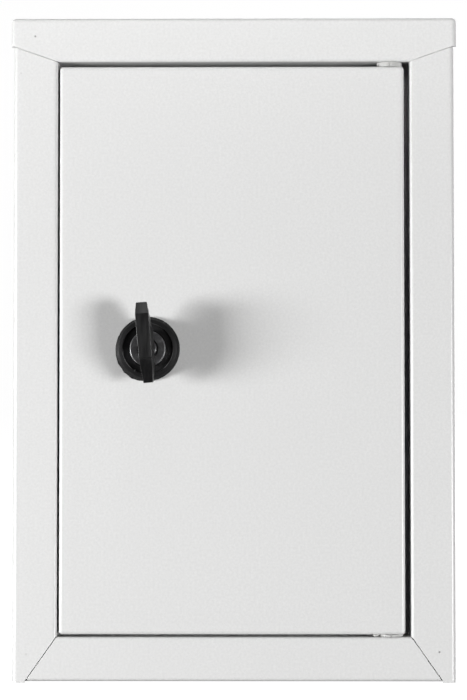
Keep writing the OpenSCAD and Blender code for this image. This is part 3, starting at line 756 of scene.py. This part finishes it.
def seal_edge(t):
    """Slightly uneven rim, squeezed out low on the left."""
    a = math.degrees(t) % 360
    push = math.exp(-(((a - 230) / 26.0) ** 2))
    # squared-off lumps: a coarse polygon follows the squeezed rim
    step = 17.0
    k = math.floor((a - 3.0) / step)
    part = (a - 3.0) / step - k
    chord = math.cos(math.radians(step / 2)) / math.cos(math.radians((part - 0.5) * step))
    wave = 0.5 + 0.5 * math.sin(k * 2.4)
    return (g_out + push * (0.30 + 0.55 * wave)) * (1.0 + push * (chord - 1.0) * 2.2)


ls_lo, ls_hi = box("lock_seal")
seal_t = ls_hi[1] - ls_lo[1]
seal_ring = looped([(g_in, 0.02), (lambda t: seal_edge(t) - 0.12, 0.0), (seal_edge, 0.14), (seal_edge, seal_t - 0.16),
                    (lambda t: seal_edge(t) - 0.14, seal_t), (g_in, seal_t - 0.02)], 180)
publish("bezel_gasket", *moved(seal_ring, Matrix.Translation((-0.35, 0, -0.3)) @ at_lock(FRONT_Y)), "door", "seal_rubber", ["lock_seal"])

ln_lo, ln_hi = box("lock_nut")
publish("lock_clamp_nut", *moved(nut(27.0, 11.03, ln_hi[1] - ln_lo[1]), toward(LOCK_X, ln_lo[1], LOCK_Z, (0, 1, 0)) @ Matrix.Rotation(math.radians(30), 4, "Z")),
        "door", "zinc_steel", ["lock_nut"], sharp=20)

# turning disc with the key's socket
CAM_Y = box("lock_cam")[0][1]
depth = CAM_Y - DISC_Y
SOCKET = 11.0
disc = rounded([(4.25, -SOCKET + 0.02), (4.25, -0.85), (4.80, 0.0), (7.75, 0.0), (8.1, -0.35), (8.1, -depth), (4.25, -depth)],
               [0, 0.2, 0.12, 0.14, 0.14, 0.15, 0.1], 4)
core = stacked([(-depth, 4.24), (-depth, 4.24), (-SOCKET, 4.24)], 96)


def square_tail():
    side = lambda h: (lambda t: min(h / max(1e-6, abs(math.cos(t))), h / max(1e-6, abs(math.sin(t))), h * 1.32))
    return stacked([(-depth - 2.8, side(3.8)), (-depth - 2.6, side(4.0)), (-depth + 0.05, side(4.0))], 96)


post = stacked([(-SOCKET - 0.1, 1.9), (-SOCKET + 5.7, 1.9), (-SOCKET + 6.0, 1.6)], 48)


def block(x0, x1, y0, y1, z0, z1, b=0.2):
    """Box with bevelled edges."""
    bm = bmesh.new()
    bmesh.ops.create_cube(bm, size=1.0)
    for v in bm.verts:
        v.co = Vector(((x0 if v.co.x < 0 else x1), (y0 if v.co.y < 0 else y1), (z0 if v.co.z < 0 else z1)))
    bmesh.ops.bevel(bm, geom=list(bm.edges), offset=b, segments=2, profile=0.5, affect="EDGES")
    bm.verts.ensure_lookup_table()
    out = [tuple(v.co) for v in bm.verts], [tuple(v.index for v in f.verts) for f in bm.faces]
    bm.free()
    return out


bits = block(-4.28, 4.28, -1.4, 1.4, -SOCKET - 0.1, -SOCKET + 5.9)
publish("lock_turner", *moved(joined([spun(disc, 160), core, square_tail(), post, bits]), at_lock(DISC_Y, TILT)), "lock", "dark_metal", ["lock_rotor"], sharp=30)

# washer and screw that hold the cam
cw_lo, cw_hi = box("cam_washer")
t = cw_hi[1] - cw_lo[1]
ring = spun(rounded([(3.2, 0), (7.0, 0), (7.0, t), (3.2, t)], [0.1, 0.3, 0.3, 0.1]), 64)
publish("cam_ring", *moved(ring, toward(LOCK_X, cw_lo[1], LOCK_Z, (0, 1, 0))), "lock", "zinc_steel", ["cam_washer"])


def hex_screw(af, head, shank_r, shank):
    """Hexagon head on +Z with a dished top, shank down to -shank."""
    hx = hexa(af)
    rc = af / 2 * 0.95
    k = math.tan(math.radians(30))
    drop = lambda t: max(0.0, hx(t) - rc) * k
    rings = threaded(shank_r, 0.42, 1.0, -shank, -0.05, 0.6, 0.0)
    verts, faces = stacked(rings, 72)
    head_loop = [(0.02, 0.0), (rc, 0.0), (hx, 0.12), (hx, lambda t: head - drop(t)), (rc, head), (rc - 0.7, head), (rc - 1.3, head - 0.45), (0.02, head - 0.55)]
    return joined([(verts, faces), looped(head_loop, 72)])


s_lo, s_hi = box("cam_screw")
publish("cam_bolt", *moved(hex_screw(10.0, s_hi[1] - cw_hi[1], 3.0, 9.4), toward(LOCK_X, cw_hi[1], LOCK_Z, (0, 1, 0)) @ Matrix.Rotation(math.radians(TILT), 4, "Z")),
        "lock", "zinc_steel", ["cam_screw"], sharp=20)


# ------------------------------------------------------------------ wing key
def wing():
    """Tapered wing, local: x across, y up, z out of the disc."""
    # side outline (height in front of the disc, up), from the root round
    outline = [(1.4, 6.4), (9.4, 19.7), (12.8, 20.4), (18.0, 15.0), (18.0, 5.0), (18.0, -4.6), (17.25, -5.25), (17.05, -5.9), (10.7, -15.6),
               (7.4, -15.3), (1.4, -6.4)]

    def half(z, y):
        # thickness: thinner towards both tips, thicker towards the root
        if y > 5:
            s = min(1.0, (y - 5) / 15.4)
            h = 2.92 + 0.06 * min(1, s * 1.6) - max(0.0, (y - 15.0) / 5.4) * 0.72
        else:
            h = 2.98 - (0.20 if y < -4.9 else 0.0) - max(0.0, (-5 - y) / 10.6) * 0.80
        return h + 0.40 * (18.0 - z) / 18.0

    bm = bmesh.new()
    left = [bm.verts.new((-half(z, y), y, z)) for z, y in outline]
    right = [bm.verts.new((half(z, y), y, z)) for z, y in outline]
    k = len(outline)
    bm.faces.new(left)
    bm.faces.new(list(reversed(right)))
    for i in range(k):
        bm.faces.new((left[i], right[i], right[(i + 1) % k], left[(i + 1) % k]))
    bmesh.ops.recalc_face_normals(bm, faces=bm.faces)
    bm.normal_update()
    sharp = [e for e in bm.edges if e.is_manifold and e.calc_face_angle(0) > math.radians(12)]
    bmesh.ops.bevel(bm, geom=sharp, offset=0.24, segments=3, profile=0.5, affect="EDGES", clamp_overlap=True)
    for v in bm.verts:
        v.co.x -= 0.45 * max(0.0, min(1.0, (v.co.z - 1.4) / 6.0))
    bmesh.ops.triangulate(bm, faces=[f for f in bm.faces if len(f.verts) > 4])
    bm.verts.ensure_lookup_table()
    out = [tuple(v.co) for v in bm.verts], [tuple(v.index for v in f.verts) for f in bm.faces]
    bm.free()
    return out


def shank():
    """Round shank with a slotted tube end that fits over the post and bits."""
    end = -(SOCKET - 0.2)
    deep = end + 6.0
    n = 96
    out_r, in_r, slot = 4.0, 2.0, 1.5
    roll = [(0.55 + 0.75 * math.sin(math.radians(a)), 3.45 + 0.75 * math.cos(math.radians(a))) for a in range(-80, 91, 10)]
    verts, faces = stacked([(deep + 0.02, out_r), (-0.5, out_r)] + roll + [(1.32, 3.3), (6.4, 3.3), (7.0, 2.8)], n)
    tube = []
    for side in (1, -1):
        a0 = math.asin((slot) / in_r) + 0.02
        b0 = math.asin((slot) / out_r) + 0.005
        m = 24
        inner = [(in_r * math.cos(a0 + (math.pi - 2 * a0) * i / m), side * in_r * math.sin(a0 + (math.pi - 2 * a0) * i / m)) for i in range(m + 1)]
        outer = [(out_r * math.cos(b0 + (math.pi - 2 * b0) * i / m), side * out_r * math.sin(b0 + (math.pi - 2 * b0) * i / m)) for i in range(m + 1)]
        loop = outer + inner[::-1]
        k = len(loop)
        v = [(x, y, end) for x, y in loop] + [(x, y, deep + 0.03) for x, y in loop]
        f = [(i, (i + 1) % k, (i + 1) % k + k, i + k) for i in range(k)]
        f += [(i, i + 1, k - 2 - i, k - 1 - i) for i in range(m)]
        f += [(k + i, k + k - 1 - i, k + k - 2 - i, k + i + 1) for i in range(m)]
        tube.append((v, f))
    return joined([(verts, faces)] + tube)


publish("turn_key", *moved(joined([wing(), shank()]), at_lock(DISC_Y, TILT)), "key", "black_key", ["wing_key"], sharp=40)


# ------------------------------------------------------------------ foam door seal
def foam_loop():
    """Foamed-in-place bead: domed section run round a rounded rectangle, slightly uneven, with a soft lap where it ends."""
    lo, hi = box("door_seal")
    y0, y1 = lo[1], hi[1]
    half_w = 4.9
    mx, mz0, mz1 = hi[0] - 5.0, lo[2] + 5.0, hi[2] - 5.0
    r = 5.3
    path = []

    def arc(cx, cz, a0):
        for i in range(9):
            a = math.radians(a0 + 90 * i / 8)
            path.append((cx + r * math.cos(a), cz + r * math.sin(a)))

    def line(x0, z0, x1, z1):
        n = max(1, int(math.hypot(x1 - x0, z1 - z0) / 3.0))
        for i in range(1, n):
            path.append((x0 + (x1 - x0) * i / n, z0 + (z1 - z0) * i / n))

    arc(mx - r, mz1 - r, 0)
    line(mx - r, mz1, -mx + r, mz1)
    arc(-mx + r, mz1 - r, 90)
    line(-mx, mz1 - r, -mx, mz0 + r)
    arc(-mx + r, mz0 + r, 180)
    line(-mx + r, mz0, mx - r, mz0)
    arc(mx - r, mz0 + r, 270)
    line(mx, mz0 + r, mx, mz1 - r)
    n = len(path)
    h = y1 - y0
    verts, faces = [], []
    sect = 14
    for i, (x, z) in enumerate(path):
        ax, az = path[i - 1]
        bx_, bz = path[(i + 1) % n]
        tx, tz = bx_ - ax, bz - az
        ln = math.hypot(tx, tz)
        nx, nz = tz / ln, -tx / ln
        wob = 0.05 * math.sin(i * 0.9) + 0.04 * math.sin(i * 0.37 + 1.0) + 0.03 * math.sin(i * 2.3)
        top = h * (1.0 - 0.035 * (1 + math.sin(i * 0.53 + 0.4)) / 2 - 0.02 * (1 + math.sin(i * 1.7)) / 2)
        lap = math.exp(-(((i - n * 0.62) / 2.2) ** 2))
        top *= 1.0 - 0.07 * lap
        for j in range(sect):
            u = -1 + 2 * j / (sect - 1)
            # domed top over upright sides
            if j in (0, sect - 1):
                yy, ww = 0.0, half_w * 0.96
            else:
                s = -1 + 2 * (j - 1) / (sect - 3)
                yy = top * (0.42 + 0.58 * (1 - abs(s) ** 2.6) ** 0.5) if abs(s) < 1 else top * 0.42
                ww = half_w * (1.0 + 0.012 * wob * 10)
                u = s
            off = (ww + wob * 0.5) * (u if j not in (0, sect - 1) else math.copysign(1, u))
            off = max(-half_w, min(half_w, off))
            verts.append((x + nx * off, y0 + yy, z + nz * off))
    for i in range(n):
        for j in range(sect):
            a, b = i * sect + j, i * sect + (j + 1) % sect
            k = ((i + 1) % n) * sect
            faces.append((a, b, k + (j + 1) % sect, k + j))
    return verts, faces


seal = publish("foam_bead", *foam_loop(), "door", "seal_foam", ["door_seal"], sharp=60)


# ------------------------------------------------------------------ floor and backdrop
def stage_material():
    n = Net("stage_white")
    n.t.nodes.remove(n.b)
    mixs = n.new("ShaderNodeAddShader")
    em = n.new("ShaderNodeEmission")
    em.inputs["Color"].default_value = (1, 1, 1, 1)
    em.inputs["Strength"].default_value = 0.97
    df = n.new("ShaderNodeBsdfDiffuse")
    df.inputs["Color"].default_value = (0.10, 0.10, 0.10, 1)
    n.link(em.outputs[0], mixs.inputs[0])
    n.link(df.outputs[0], mixs.inputs[1])
    n.link(mixs.outputs[0], n.out.inputs[0])
    return n.m


def backdrop():
    """Pale floor that curves up into a wall far behind."""
    verts, faces = [], []
    prof = [(-6.0, 7.0), (-6.0, 0.0), (1.2, 0.0)]
    for i in range(1, 17):
        a = math.radians(90 * i / 16)
        prof.append((1.2 + 0.8 * math.sin(a), 0.8 * (1 - math.cos(a))))
    prof.append((2.0, 7.0))
    for x in (-7.0, 7.0):
        verts += [(x, y, FOOT_Z * MM - 0.00002 + z) for y, z in prof]
    k = len(prof)
    faces = [(i, i + 1, k + i + 1, k + i) for i in range(k - 1)]
    faces += [tuple(range(k)), tuple(range(k, 2 * k))]
    me = bpy.data.meshes.new("studio_sweep")
    me.from_pydata(verts, [], faces)
    me.materials.append(stage_material())
    me.shade_smooth()
    o = bpy.data.objects.new("studio_sweep", me)
    scene.collection.objects.link(o)
    o.visible_diffuse = False
    o.visible_glossy = False
    o.visible_transmission = False
    o.visible_shadow = False


backdrop()
